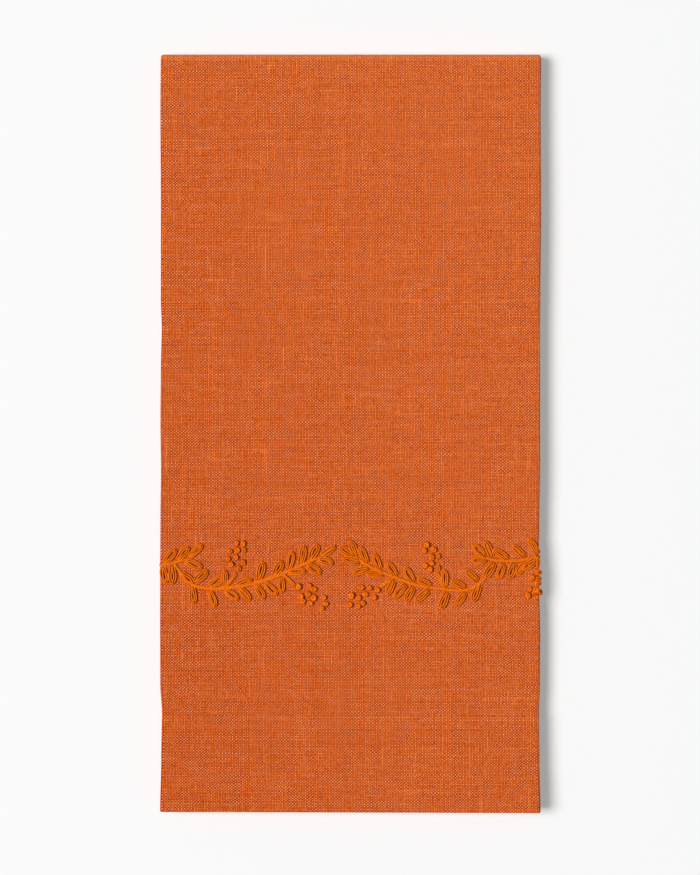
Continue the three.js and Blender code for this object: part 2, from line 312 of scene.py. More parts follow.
sheet_rows = []
for up, share in half_rows(BACK_LENGTH, BACK_ROW):
    flat_along = np.full(len(FLAT_ACROSS), up)
    sheet_rows.append((*half_row(up, share, -1), flat_along))
x, height, nx, facing, _ = cut_across(FRONT_LENGTH).T
layer_span = [0.5 * LAYER_PITCH, 2.5 * LAYER_PITCH]
squareness = np.interp(height, layer_span, [HALF_SQUARENESS["inside"], HALF_SQUARENESS["outside"]])
turns = [Fold(value) for value in squareness]
for step in range(1, HALF_FOLD_STEPS):
    share = step / HALF_FOLD_STEPS
    out, rise, facing_out, facing_up = np.array([turn.at((1 - share) * turn.length) for turn in turns]).T
    middle = np.stack([x, AXIS_Y + height * out, AXIS_Z + height * rise], axis=1)
    normal = np.stack([nx, facing * facing_out, facing * facing_up], axis=1)
    flat_along = np.full(len(FLAT_ACROSS), BACK_LENGTH + HALF_FOLD_FLAT * share)
    sheet_rows.append((middle, normal, LINEN, flat_along))
for up, share in reversed(half_rows(FRONT_LENGTH, FRONT_ROW)):
    flat_along = np.full(len(FLAT_ACROSS), FLAT_LENGTH - up)
    sheet_rows.append((*half_row(up, share, 1), flat_along))
print("rows of the sheet:", len(sheet_rows))

# %% [markdown]
# ## Meshes with a flat map
# The cloth and the threads are made in the same way: points and faces become a smooth mesh, and a flat
# place for every point becomes its UV map. A thread's map ends where it began, so its last faces go one
# lap further.

# %% Mesh helper
def mapped_object(name, points, faces, map_name, places, laps=0.0):
    mesh = bpy.data.meshes.new(name)
    mesh.from_pydata((points * MM).tolist(), [], faces)
    layer = mesh.uv_layers.new(name=map_name)
    corners = np.empty(len(mesh.loops), dtype=np.int64)
    mesh.loops.foreach_get("vertex_index", corners)
    corner_places = places[corners]
    corner_places[:, 1] += laps
    layer.data.foreach_set("uv", corner_places.ravel().astype(np.float32))
    mesh.polygons.foreach_set("use_smooth", np.ones(len(mesh.polygons), dtype=bool))
    mesh.validate()
    mesh.update()
    obj = bpy.data.objects.new(name, mesh)
    bpy.context.collection.objects.link(obj)
    return obj


print("a cut has", len(FLAT_ACROSS), "points and the sheet", len(sheet_rows), "cuts")

# %% [markdown]
# ## Close the sheet into a mesh
# One ring of points goes over the outer face, round a small nose at the flap's end, back along the inner
# face and round the other nose. Rings are joined with quads, and the two hem edges are closed by quads
# between the faces.

# %% Mesh of the linen
NOSE_REACH = 0.35


def ring_of(middle, normal, thickness):
    outer = middle + normal * thickness / 2
    inner = middle - normal * thickness / 2
    reach = NOSE_REACH * thickness
    cover_nose = middle[-1] + np.array([-reach, 0, 0])
    tucked_nose = middle[0] + np.array([reach, 0, 0])
    return np.concatenate([outer, cover_nose[None], inner[::-1], tucked_nose[None]])


def build_linen(name):
    count = len(FLAT_ACROSS)
    ring = 2 * count + 2
    points = np.concatenate([ring_of(middle, normal, thick) for middle, normal, thick, _ in sheet_rows])
    across = np.concatenate([FLAT_ACROSS, [FLAT_ACROSS[-1]], FLAT_ACROSS[::-1], [0.0]])
    flat = np.concatenate([
        np.stack([across, np.concatenate([along, along[-1:], along[::-1], along[:1]])], axis=1)
        for *_, along in sheet_rows
    ])
    here = np.arange(ring)
    there = (here + 1) % ring
    last = (len(sheet_rows) - 1) * ring
    quads = [np.stack([start + here, start + ring + here, start + ring + there, start + there], axis=1)
             for start in range(0, last, ring)]
    i = np.arange(count - 1)
    front = np.stack([i, i + 1, ring - 3 - i, ring - 2 - i], axis=1)
    quads += [front, last + front[:, ::-1]]
    ends = [(count - 1, count, count + 1), (ring - 2, ring - 1, 0)]
    faces = np.concatenate(quads).tolist()
    faces += [list(e) for e in ends] + [[last + v for v in e[::-1]] for e in ends]
    return mapped_object(name, points, faces, "flat_mm", flat)


linen = build_linen("linen_cloth")
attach(linen, "root")
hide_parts("folded_cloth")
print("linen faces:", len(linen.data.polygons))

# %% [markdown]
# ## Small helpers for shader nodes
# A weave needs many little sums. These helpers add one maths node each and join sockets or plain numbers
# to it, so that the steps below read like formulas.

# %% Node helpers
class Shader:
    def __init__(self, name):
        self.material = bpy.data.materials.new(name)
        self.material.use_nodes = True
        self.tree = self.material.node_tree
        self.surface = self.tree.nodes["Principled BSDF"]

    def put(self, socket, value):
        if isinstance(value, bpy.types.NodeSocket):
            self.tree.links.new(value, socket)
        else:
            socket.default_value = value

    def sum(self, operation, a, b=None, clamp=False):
        node = self.tree.nodes.new("ShaderNodeMath")
        node.operation = operation
        node.use_clamp = clamp
        for socket, value in zip(node.inputs, (a, b)):
            if value is not None:
                self.put(socket, value)
        return node.outputs[0]

    def plus(self, a, b, clamp=False):
        return self.sum("ADD", a, b, clamp)

    def minus(self, a, b, clamp=False):
        return self.sum("SUBTRACT", a, b, clamp)

    def times(self, a, b):
        return self.sum("MULTIPLY", a, b)

    def over(self, a, b, clamp=False):
        return self.sum("DIVIDE", a, b, clamp)

    def vector(self, x, y, z=0.0):
        node = self.tree.nodes.new("ShaderNodeCombineXYZ")
        for socket, value in zip(node.inputs, (x, y, z)):
            self.put(socket, value)
        return node.outputs[0]

    def flat_place(self, layer):
        node = self.tree.nodes.new("ShaderNodeUVMap")
        node.uv_map = layer
        parts = self.tree.nodes.new("ShaderNodeSeparateXYZ")
        self.tree.links.new(node.outputs[0], parts.inputs[0])
        return parts.outputs[0], parts.outputs[1]

    def noise(self, vector, scale, detail=2.0):
        node = self.tree.nodes.new("ShaderNodeTexNoise")
        self.put(node.inputs["Vector"], vector)
        node.inputs["Scale"].default_value = scale
        node.inputs["Detail"].default_value = detail
        return node.outputs[0]

    def chance(self, vector):
        node = self.tree.nodes.new("ShaderNodeTexWhiteNoise")
        node.noise_dimensions = "2D"
        self.put(node.inputs["Vector"], vector)
        return node.outputs["Value"]

    def mix(self, share, a, b):
        return self.plus(a, self.times(share, self.minus(b, a)))

    def ramp(self, value, stops):
        node = self.tree.nodes.new("ShaderNodeValToRGB")
        elements = node.color_ramp.elements
        while len(elements) < len(stops):
            elements.new(0.5)
        for element, (place, colour) in zip(elements, stops):
            element.position = place
            element.color = (*colour, 1.0)
        self.put(node.inputs[0], value)
        return node.outputs[0]

    def tint(self, colour, hue, depth):
        node = self.tree.nodes.new("ShaderNodeHueSaturation")
        for name, value in (("Color", colour), ("Hue", hue), ("Saturation", depth)):
            self.put(node.inputs[name], value)
        return node.outputs[0]

    def finish(self, roughness, specular):
        self.surface.inputs["Roughness"].default_value = roughness
        self.surface.inputs["Specular IOR Level"].default_value = specular

    def bump(self, height, distance, strength):
        node = self.tree.nodes.new("ShaderNodeBump")
        node.inputs["Strength"].default_value = strength
        node.inputs["Distance"].default_value = distance
        self.put(node.inputs["Height"], height)
        self.tree.links.new(node.outputs[0], self.surface.inputs["Normal"])


def linear(*srgb):
    return tuple((v / 255 / 12.92 if v <= 10 else ((v / 255 + 0.055) / 1.055) ** 2.4) for v in srgb)


print("helpers ready")

# %% [markdown]
# ## Linen, woven from its two sets of yarns
# Linen is a plain weave of flax yarns that swell and thin along their length. Two stripe patterns would
# look printed, so each yarn gets its own number, and with it its own shade, its own thick places and its
# own place over or under the next yarn. The yarns wander a little as they go, and the weft is beaten in
# unevenly.

# %% Places of the yarns
WARP_PITCH = 0.558
WEFT_PITCH = 0.466
WARP_SWAY = 5.0
WEFT_SWAY = 1.2
WEFT_BEAT = 1.3


def yarn_places(s, across, along):
    warp_sway = s.noise(s.vector(across, s.times(along, 0.2)), 0.06, 1.0)
    weft_sway = s.noise(s.vector(s.times(across, 0.3), along, 7.0), 0.03, 1.0)
    weft_beat = s.noise(s.vector(s.times(across, 0.05), along, 3.0), 0.9, 1.0)
    warp_place = s.plus(s.over(across, WARP_PITCH), s.times(warp_sway, WARP_SWAY))
    weft_place = s.plus(s.over(along, WEFT_PITCH), s.times(weft_sway, WEFT_SWAY))
    weft_place = s.plus(weft_place, s.times(weft_beat, WEFT_BEAT))
    return warp_place, weft_place


print("yarns in the front panel:", int(FOLDED_WIDTH / WARP_PITCH), "by", int(FOLDED_LENGTH / WEFT_PITCH))

# %% [markdown]
# ## Floats
# Where two yarns cross, the upper one makes a float: a round yarn that is highest in the middle of the
# float. The higher of the two yarns is the one that shows, and thick places in a yarn are paler. The same
# height later drives the bump, so light picks out the yarns as it does on cloth, and it also sets a
# painted light on the crowns.

# %% Height and shade of a yarn
YARN_HALF = 0.34
SLUB_HALF = 0.34
SLUB_NUMBER = 7.31
SLUB_STRETCH = 0.06
CROWN_DROP = 0.5
OWN_SHADE = 0.08
THICK_SLUB = 0.6


def yarn_slubs(s, warp, weft, across, along):
    warp_at, weft_at = s.times(warp, SLUB_NUMBER), s.times(weft, SLUB_NUMBER)
    warp_slub = s.noise(s.vector(warp_at, s.times(along, SLUB_STRETCH)), 1.0, 2.0)
    weft_slub = s.noise(s.vector(s.times(across, SLUB_STRETCH), weft_at, 5.0), 1.0, 2.0)
    return warp_slub, weft_slub


def roundness(s, side, slub):
    half = s.plus(s.times(slub, SLUB_HALF), YARN_HALF)
    off = s.over(s.minus(side, 0.5), half)
    return s.minus(1.0, s.times(off, off), clamp=True)


def crown(s, side):
    off = s.minus(s.times(side, 2.0), 1.0)
    return s.minus(1.0, s.times(s.times(off, off), CROWN_DROP))


def yarn_shade(s, yarn, slub, seed, slub_shade):
    own = s.times(s.chance(s.vector(yarn, seed)), OWN_SHADE)
    thick = s.times(s.minus(slub, THICK_SLUB, clamp=True), slub_shade)
    return s.plus(own, thick)


print("half width of a yarn, in pitches:", YARN_HALF, "to", YARN_HALF + SLUB_HALF)

# %% [markdown]
# ## The tone of the weave
# Painted light makes the crowns pale, the flanks stay deep orange and painted shade darkens the gaps
# between the warp yarns. A tidy weave would look like dots, so more is laid over it: every other yarn
# comes from another bobbin, in tight places the weft shows more than the warp, floats lean a little, each
# crossing has its own fleck and fine fibres break up the rest.

# %% Tone of the weave
UNDER_HEIGHT = 0.22
FIBRE_PITCH = 0.3
SLUB_SHADE = {"warp": 1.8, "weft": 1.3}
BOBBIN_SHADE = {"warp": 0.05, "weft": 0.085}
TIGHT = {"scale": 0.42, "from": 0.29, "shade": 1.6}
GAP_POWER = 4.0
# the share for height sets painted light on the crowns; the last share sets painted shade between the warp
# yarns
TONE = {"height": 0.34, "lean": 0.04, "fleck": 0.11, "fibre": 0.18, "painted_gap_shade": 0.46}


def tight_places(s, across, along, warp_on_top):
    tightness = s.noise(s.vector(s.times(across, 0.5), along, 9.0), TIGHT["scale"], 1.0)
    uneven = s.times(s.minus(tightness, TIGHT["from"], clamp=True), TIGHT["shade"])
    return s.times(s.minus(0.5, warp_on_top), uneven)


def float_lean(s, *places):
    return s.times(*(s.sum("COSINE", s.times(place, math.pi)) for place in places))


def fibres(s, across, along):
    return s.chance(s.vector(*(s.sum("FLOOR", s.over(place, FIBRE_PITCH)) for place in (across, along))))


def weave(s, across, along):
    warp_place, weft_place = yarn_places(s, across, along)
    warp, weft = s.sum("FLOOR", warp_place), s.sum("FLOOR", weft_place)
    warp_side, weft_side = s.sum("FRACT", warp_place), s.sum("FRACT", weft_place)
    warp_slub, weft_slub = yarn_slubs(s, warp, weft, across, along)
    over = s.sum("PINGPONG", s.plus(warp, weft), 1.0)
    under = s.minus(1.0, over)
    warp_round, weft_round = roundness(s, warp_side, warp_slub), roundness(s, weft_side, weft_slub)
    warp_high = s.times(warp_round, s.mix(over, UNDER_HEIGHT, crown(s, weft_side)))
    weft_high = s.times(weft_round, s.mix(under, UNDER_HEIGHT, crown(s, warp_side)))
    height = s.sum("MAXIMUM", warp_high, weft_high)
    warp_on_top = s.sum("GREATER_THAN", warp_high, weft_high)
    warp_shade = yarn_shade(s, warp, warp_slub, 3.0, SLUB_SHADE["warp"])
    weft_shade = yarn_shade(s, weft, weft_slub, 8.0, SLUB_SHADE["weft"])
    shade = s.mix(warp_on_top, weft_shade, warp_shade)
    bobbins = s.plus(s.times(s.sum("PINGPONG", weft, 1.0), BOBBIN_SHADE["weft"]),
                     s.times(s.sum("PINGPONG", warp, 1.0), BOBBIN_SHADE["warp"]))
    # painted shade: darkest in the gaps between the warp yarns
    gap_off = s.sum("ABSOLUTE", s.minus(warp_side, 0.5))
    painted_gap_shade = s.sum("POWER", s.times(gap_off, 2.0), GAP_POWER)
    lean = float_lean(s, warp_place, weft_place)
    fleck = s.times(s.chance(s.vector(warp, weft)), TONE["fleck"])
    fibre = s.times(fibres(s, across, along), TONE["fibre"])
    # painted light: the higher the float, the paler its tone
    tone = s.plus(s.times(s.sum("SQRT", height), TONE["height"]), shade)
    tone = s.minus(tone, s.times(lean, TONE["lean"]))
    tone = s.plus(tone, s.plus(fleck, fibre))
    tone = s.plus(tone, s.plus(tight_places(s, across, along, warp_on_top), bobbins))
    tone = s.minus(tone, s.times(painted_gap_shade, TONE["painted_gap_shade"]))
    return warp, weft, height, tone


print("shares of the tone:", TONE)

# %% [markdown]
# ## Painted light and shade at the folds and the hem
# Painted light makes the linen paler at the half fold and at the right fold, and painted shade makes the
# tight left fold a little deeper. A painted light falloff makes the cloth a shade darker towards the hem
# ends and towards the left. Above the hem, painted light and shade make faint bands where the doubled
# cloth ends, and painted shade darkens a small hole at each hem stitch. All of these depend on the flat
# place only, so they stay put on the cloth.

# %% Painted light and shade of the folds and the hem
HEM_STITCH_PITCH = 2.0
PRICK_RADIUS = 0.3
# painted light and painted shade in bands beside the hem stitching
HEM_PAINTED_BANDS = [
    {"up": 28.6, "half": 0.9, "tone": 0.035}, {"up": 31.6, "half": 1.5, "tone": 0.04},
    {"up": 35.0, "half": 2.4, "tone": -0.02},
]
FRONT_MIDDLE = FLAT_ACROSS[FLAP_STEPS + FOLD_STEPS + FRONT_STEPS // 2]
LEFT_FOLD_END = FLAT_ACROSS[FLAP_STEPS + FOLD_STEPS]
RIGHT_FOLD_START = FLAT_ACROSS[FLAP_STEPS + FOLD_STEPS + FRONT_STEPS]
# painted light at the half fold and the right fold, painted shade at the left fold
HALF_FOLD_PAINTED_LIGHT = {"reach": 4.2, "tone": 0.4}
RIGHT_FOLD_PAINTED_LIGHT = {"start": RIGHT_FOLD_START + 0.7, "reach": 1.2, "tone": 0.35}
LEFT_FOLD_PAINTED_SHADE = {"start": LEFT_FOLD_END + 0.3, "reach": 0.8, "tone": -0.1}
# painted light falloff: darker further from the half fold and towards the left
PAINTED_LIGHT_FALLOFF = {"along": -0.00016, "across": 0.02, "wave": 60.0}
# painted shade in each needle hole of the hem
PRICK_PAINTED_SHADE = -0.25


def painted_fold_light_and_falloff(s, across, from_fold):
    # painted light falloff across the front, brighter to the right
    painted_falloff = s.sum("SINE", s.over(s.minus(across, FRONT_MIDDLE), PAINTED_LIGHT_FALLOFF["wave"]))
    # painted light at the half fold and the right fold, painted shade at the left fold
    half = s.minus(1.0, s.over(from_fold, HALF_FOLD_PAINTED_LIGHT["reach"]), clamp=True)
    past_right = s.minus(across, RIGHT_FOLD_PAINTED_LIGHT["start"])
    past_left = s.minus(LEFT_FOLD_PAINTED_SHADE["start"], across)
    right = s.over(past_right, RIGHT_FOLD_PAINTED_LIGHT["reach"], clamp=True)
    left = s.over(past_left, LEFT_FOLD_PAINTED_SHADE["reach"], clamp=True)
    return [(from_fold, PAINTED_LIGHT_FALLOFF["along"]), (painted_falloff, PAINTED_LIGHT_FALLOFF["across"]), (half, HALF_FOLD_PAINTED_LIGHT["tone"]),
            (right, RIGHT_FOLD_PAINTED_LIGHT["tone"]), (left, LEFT_FOLD_PAINTED_SHADE["tone"])]


def hem_painted_light_and_shade(s, across, from_fold):
    from_hem = s.minus(FLAT_LENGTH / 2, from_fold)

    def off_row(place):
        return s.sum("ABSOLUTE", s.minus(from_hem, place))

    painted_marks = []
    # painted light and painted shade bands along the hem
    for row in HEM_PAINTED_BANDS:
        band = s.minus(1.0, s.over(off_row(row["up"]), row["half"]), clamp=True)
        painted_marks.append((band, row["tone"]))
    step = s.minus(s.sum("FRACT", s.over(across, HEM_STITCH_PITCH)), 0.5)
    reach = s.times(step, HEM_STITCH_PITCH)
    off = off_row(HEM_DEPTH)
    far = s.sum("SQRT", s.plus(s.times(off, off), s.times(reach, reach)))
    # painted shade in the needle hole; the same mask also sinks the bump
    prick = s.minus(1.0, s.over(far, PRICK_RADIUS), clamp=True)
    return painted_marks + [(prick, PRICK_PAINTED_SHADE)]


print("front middle on the flat cloth, mm:", FRONT_MIDDLE.round(1))

# %% [markdown]
# ## Colour of the linen
# One ramp turns the tone into colour, from a dark red brown where shade is painted in the gaps to a pale
# orange where light is painted on the crowns. Dyed yarns are never quite one colour, so each crossing
# also shifts a little in hue and in depth.

# %% Linen material
TONE_BASE = 0.185
# the dark end shows the painted shade in the gaps, the pale end the painted light on the crowns
LINEN_RAMP = [
    (0.0, linear(92, 0, 0)), (0.3, linear(155, 32, 0)), (0.6, linear(213, 96, 29)),
    (0.8, linear(231, 123, 62)), (1.0, linear(242, 145, 88)),
]
HUE_SPREAD = 0.008
DEPTH_SPREAD = 0.044
PRICK_DEPTH = 0.4


def make_linen():
    s = Shader("linen_weave")
    across, along = s.flat_place("flat_mm")
    warp, weft, height, tone = weave(s, across, along)
    from_fold = s.sum("ABSOLUTE", s.minus(along, FLAT_LENGTH / 2))
    # painted light and shade of the folds, the falloff and the hem are added to the tone
    painted_marks = painted_fold_light_and_falloff(s, across, from_fold) + hem_painted_light_and_shade(s, across, from_fold)
    for mark, share in painted_marks:
        tone = s.plus(tone, s.times(mark, share))
    colour = s.ramp(s.plus(tone, TONE_BASE, clamp=True), LINEN_RAMP)
    hue_chance = s.chance(s.vector(weft, warp))
    depth_chance = s.chance(s.vector(s.plus(warp, 0.5), weft))
    hue = s.plus(s.times(hue_chance, HUE_SPREAD), 0.5 - HUE_SPREAD / 2)
    depth = s.plus(s.times(depth_chance, DEPTH_SPREAD), 1.0 - DEPTH_SPREAD / 2)
    s.put(s.surface.inputs["Base Color"], s.tint(colour, hue, depth))
    s.finish(roughness=0.9, specular=0.08)
    prick, _ = painted_marks[-1]
    s.bump(s.minus(height, s.times(prick, PRICK_DEPTH)), 0.16 * MM, 0.55)
    return s.material


linen_weave = make_linen()
linen.data.materials.append(linen_weave)
print("nodes in the weave:", len(linen_weave.node_tree.nodes))

# %% [markdown]
# ## A place on the cloth for every stitch
# Stitches lie on the front and go on round the side folds. This function takes a place on the flat front,
# and a lift off the cloth, and gives the point in space: on the panel it adds the lift upwards, and past
# a fold's start it goes round the fold's outside. Stitches that reach the edge then wrap it, as they do
# on the towel.

# %% From flat places to points in space
LAST_TURN = 2.4


def on_front(x, y, lift):
    x, y, lift = (np.asarray(v, dtype=float) for v in (x, y, lift))
    up = np.clip(y - FRONT_HEM_Y, 0.0, FRONT_LENGTH)
    left, right = side_edges(up)
    room = layer_room(up)
    pitch = room + LAYER_GAP
    half = linen_thickness(up) / 2
    left_x = left + 0.5 * pitch + half
    right_x = right - pitch - half
    flat_x = np.clip(x, left_x, right_x)
    waves = (relief(flat_x, y) + front_rest(flat_x, y)) * calm_by_fold(FRONT_LENGTH - up)
    top = 3 * room + 2.5 * LAYER_GAP + 2.5 * pitch + half + waves
    past = np.where(x < left_x, left_x - x, np.where(x > right_x, x - right_x, 0.0))
    radius = np.where(x < left_x, 0.5 * pitch + half, pitch + half)
    way = np.where(x < left_x, -1.0, 1.0)
    turn = np.minimum(past / radius, LAST_TURN)
    out, rise, facing_out, facing_up = np.where(x < left_x, LEFT_FOLD.at(turn), RIGHT_FOLD.at(turn))
    px = flat_x + way * (radius * out + lift * facing_out)
    pz = top - radius + radius * rise + lift * facing_up
    return np.stack(np.broadcast_arrays(px, y, pz), axis=-1)


print("edge of the left fold, mm:", on_front(-64.2, -43.0, 0.0).round(2))

# %% [markdown]
# ## Strands
# Embroidery thread is a soft round strand with a twist. A curve with a bevel could draw it, but one
# joined mesh for each garland is lighter to handle, so each strand is a small tube: rings of points round
# a path that dips under the cloth at its ends. The cloth's outward direction keeps the rings from turning
# over. The distance along and round the strand are kept as a UV map, which the twist needs. Small
# differences between stitches come from a rule that turns a stitch's number into a spread of values, so
# they are the same every time.

# %% Strand builder
STRAND_SIDES = 8


class Strands:
    def __init__(self):
        self.points, self.faces, self.places, self.laps, self.count = [], [], [], [], 0

    def add(self, x, y, lift, radius):
        path = on_front(x, y, lift)
        outward = on_front(x, y, lift + 1.0) - path
        tangent = np.gradient(path, axis=0)
        tangent /= np.linalg.norm(tangent, axis=1)[:, None] + 1e-9
        aside = np.cross(tangent, outward)
        for i in range(1, len(aside)):
            if np.dot(aside[i], aside[i - 1]) < 0:
                aside[i] = -aside[i]
        aside /= np.linalg.norm(aside, axis=1)[:, None] + 1e-9
        rise = np.cross(aside, tangent)
        along = run_along(path)
        for k in range(STRAND_SIDES):
            angle = 2 * math.pi * k / STRAND_SIDES
            offset = aside * math.cos(angle) + rise * math.sin(angle)
            self.points.append(path + offset * radius)
            self.places.append(np.stack([along, np.full(len(path), k / STRAND_SIDES)], axis=1))
        n = len(path)
        for k in range(STRAND_SIDES):
            a, b = self.count + k * n, self.count + ((k + 1) % STRAND_SIDES) * n
            lap = 1.0 if k == STRAND_SIDES - 1 else 0.0
            for i in range(n - 1):
                self.faces.append((a + i, a + i + 1, b + i + 1, b + i))
                self.laps += [0.0, 0.0, lap, lap]
        starts = [self.count + k * n for k in range(STRAND_SIDES)]
        self.faces.append(tuple(starts))
        self.faces.append(tuple(v + n - 1 for v in reversed(starts)))
        self.laps += [0.0] * (2 * STRAND_SIDES)
        self.count += STRAND_SIDES * n

    def build(self, name, material):
        points, places = np.concatenate(self.points), np.concatenate(self.places)
        obj = mapped_object(name, points, self.faces, "strand_mm", places, self.laps)
        obj.data.materials.append(material)
        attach(obj, "root")
        return obj


def wobble(number):
    spread = math.sin(number * 12.9898) * 43758.5453
    return 2.0 * (spread - math.floor(spread)) - 1.0


print("wobble of the first stitches:", [round(wobble(i), 2) for i in range(1, 5)])

# %% [markdown]
# ## Embroidery thread
# The border's thread is brighter and smoother than the linen. It is a few plies twisted together, so its
# bump runs in slanting lines round the strand, and a painted shade darkens the grooves between the plies
# along the same lines: sines of the distance along plus the turn round it. Long fibres and paler patches
# keep them from looking machined, and painted light makes the upper side of each strand the palest.

# %% Thread material
PLIES = 2.0
# ply sets painted shade in the grooves between plies; upper sets painted light on the upper side
THREAD_TONE = {"ply": 0.16, "fibre": 0.84, "patch": 0.3, "upper": 0.4, "base": 0.46}
PLY_DEPTH = 0.4


def make_thread(name, dark, middle, light, twist_mm):
    s = Shader(name)
    along, around = s.flat_place("strand_mm")
    turns = s.plus(s.over(along, twist_mm), s.times(around, PLIES))
    ply = s.plus(s.times(s.sum("SINE", s.times(turns, 2 * math.pi)), 0.5), 0.5)
    fibre = s.noise(s.vector(s.times(along, 0.5), s.times(around, 9.0)), 1.0, 3.0)
    patch = s.noise(s.vector(s.times(along, 0.35), 4.0), 1.0, 1.0)
    # painted light: the side of the strand that faces up is paler
    facing = s.sum("MAXIMUM", s.sum("SINE", s.times(around, 2 * math.pi)), 0.0)
    upper = s.times(s.sum("SQRT", facing), THREAD_TONE["upper"])
    tone = s.plus(s.times(ply, THREAD_TONE["ply"]), s.times(fibre, THREAD_TONE["fibre"]))
    tone = s.plus(tone, s.times(patch, THREAD_TONE["patch"]))
    tone = s.plus(tone, s.minus(upper, THREAD_TONE["base"]))
    s.put(s.surface.inputs["Base Color"], s.ramp(tone, [(0.12, dark), (0.52, middle), (0.95, light)]))
    s.finish(roughness=0.52, specular=0.07)
    s.bump(s.plus(s.times(ply, PLY_DEPTH), fibre), 0.07 * MM, 0.6)
    return s.material


# the dark ends of these ramps show painted shade on the flanks and grooves, the light ends painted light on
# top
BORDER_COLOURS = [linear(146, 36, 0), linear(230, 103, 0), linear(255, 160, 34)]
HEM_COLOURS = [linear(150, 54, 18), linear(204, 96, 42), linear(232, 130, 76)]
border_thread = make_thread("border_thread", *BORDER_COLOURS, twist_mm=1.1)
hem_thread = make_thread("hem_thread", *HEM_COLOURS, twist_mm=0.5)
print("threads:", border_thread.name, hem_thread.name)

# %% [markdown]
# ## The stitched chart
# The border is worked from a chart: where each stem runs, how far along it each leaf starts and how far
# it leans, and where the bunches of berries hang, row by row. An embroiderer would mark the same on the
# cloth. A long spray and a short one make a garland, and the two garlands meet in the middle.

# %% Chart of the two garlands
LEFT_LONG = {
    "strands": [-0.36, 0.0, 0.36],
    "stem": [(-59.3, -43.6), (-57, -46.4), (-53.3, -50.4), (-46, -52), (-37, -51.1), (-29.5, -49.4),
             (-22, -46.6), (-15, -43.5), (-9.6, -41)],
    "above": {"at": [3, 9.5, 14.5, 20.5, 23.5, 32, 37, 42.5, 47, 50.5, 54],
              "lean": [5, 70, 40, 82, 15, 63, 36, 53, 52, 43, 8]},
    "below": {"at": [9.5, 15, 20, 25, 30.5, 33.5, 40, 41.5, 48.5, 52.5],
              "lean": [62, 59, 42, 53, 67, 62, 110, 14, 51, 35]},
    "berries": [
        {"at": 20.5, "heading": 52, "length": 6.6, "toward": 95,
         "rows": [[-0.9], [-2.5, 1.6], [-0.3, 2.4], [-3.1, -1.0, 1.5], [-3.0, -0.9]]},
        {"at": 40.5, "heading": -43, "length": 6.2, "toward": -36,
         "rows": [[0.4], [-1.8, 2.8], [-2.7, 0.3, 2.8], [-1.8, 0.4], [2.5], [-0.8, 1.2]]},
    ],
}
LEFT_SHORT = {
    "strands": [-0.22, 0.22],
    "stem": [(-64.9, -44.2), (-62.8, -44), (-59.4, -43.4), (-56.3, -42.4), (-54.4, -41.9)],
    "above": {"at": [2.0, 6.6, 10.6], "lean": [42, 35, 30]},
    "below": {"at": [2.0, 5.1, 9.1], "lean": [88, 97, 39]},
    "berries": [],
}
RIGHT_LONG = {
    "strands": [-0.22, 0.22],
    "stem": [(46.4, -46.9), (43.3, -50.1), (40.5, -51.9), (35.7, -52.6), (30, -52), (23.4, -51.1),
             (16.7, -48.9), (10, -46.2), (5.3, -43.9), (1.3, -41.2)],
    "above": {"at": [4.5, 9, 17, 20.5, 27, 33, 39, 44, 48, 49],
              "lean": [84, 38, 84, 22, 39, 34, 40, 37, 30, -3]},
    "below": {"at": [4, 9.5, 15.5, 21.5, 27, 29.5, 34, 37, 42.5, 46],
              "lean": [20, 46, 69, 47, 74, 64, 84, 21, 40, 24]},
    "berries": [
        {"at": 17, "heading": 114, "length": 6.3, "toward": 100,
         "rows": [[-0.8, 2.0], [1.2, 3.4], [-1.4, 0.8], [-0.4, 2.8], [1.8]]},
        {"at": 34.5, "heading": 216, "length": 6.0, "toward": 212,
         "rows": [[0.4], [-1.6, 1.9], [-3.2, -0.6], [-0.7, 1.6], [-2.6, 1.5], [-0.4]]},
    ],
}
RIGHT_SHORT = {
    "strands": [-0.22, 0.22],
    "stem": [(65.2, -41.0), (62.4, -41.5), (58.9, -42.1), (53.9, -42.7), (48, -42.4), (44.9, -41.7)],
    "above": {"at": [2.2, 6.3, 11.8, 17.8, 19.8], "lean": [75, 52, 35, 63, 28]},
    "below": {"at": [2.4, 6.3, 10.3, 13.8, 16.6, 18.8], "lean": [30, 47, 65, 70, 60, 20]},
    "berries": [
        {"at": 2.6, "heading": 270, "length": 3.6, "toward": 256,
         "rows": [[0.3], [-1.1, 1.0], [1.1], [-0.9, 1.2, 2.9], [-1.0, 1.8]]},
    ],
}
GARLANDS = {"left_garland": [LEFT_LONG, LEFT_SHORT], "right_garland": [RIGHT_LONG, RIGHT_SHORT]}


STEM_STEPS = 30
HEADING_REACH = 0.4


def stem_line(points):
    p = np.array(points, dtype=float)
    p = np.concatenate([[2 * p[0] - p[1]], p, [2 * p[-1] - p[-2]]])
    line = []
    for i in range(1, len(p) - 2):
        for t in np.linspace(0, 1, STEM_STEPS, endpoint=False):
            a, b, c, d = p[i - 1:i + 3]
            line.append(0.5 * (2 * b + (c - a) * t + (2 * a - 5 * b + 4 * c - d) * t ** 2
                               + (3 * b - a - 3 * c + d) * t ** 3))
    line = np.array(line + [p[-2]])
    return line, run_along(line)


def stem_place(line, along, distance):
    def at(where):
        return np.array([np.interp(where, along, line[:, k]) for k in (0, 1)])

    step = at(min(distance + HEADING_REACH, along[-1])) - at(max(distance - HEADING_REACH, 0))
    return at(distance), math.atan2(step[1], step[0])


for garland, sprays in GARLANDS.items():
    print(garland, "stems, mm:", [round(stem_line(spray["stem"])[1][-1], 1) for spray in sprays])

# %% [markdown]
# ## Leaves
# A leaf is a looped stitch in floss: two soft strands side by side come up at the foot, swing out, turn
# round the tip and go back, and a small tack over the tip holds the loop down. That leaves a narrow slit
# which is widest near the tip. The two strands are one rule with two insets, the inner one riding higher,
# and each leaf is a little longer, plumper or more bent than the next.

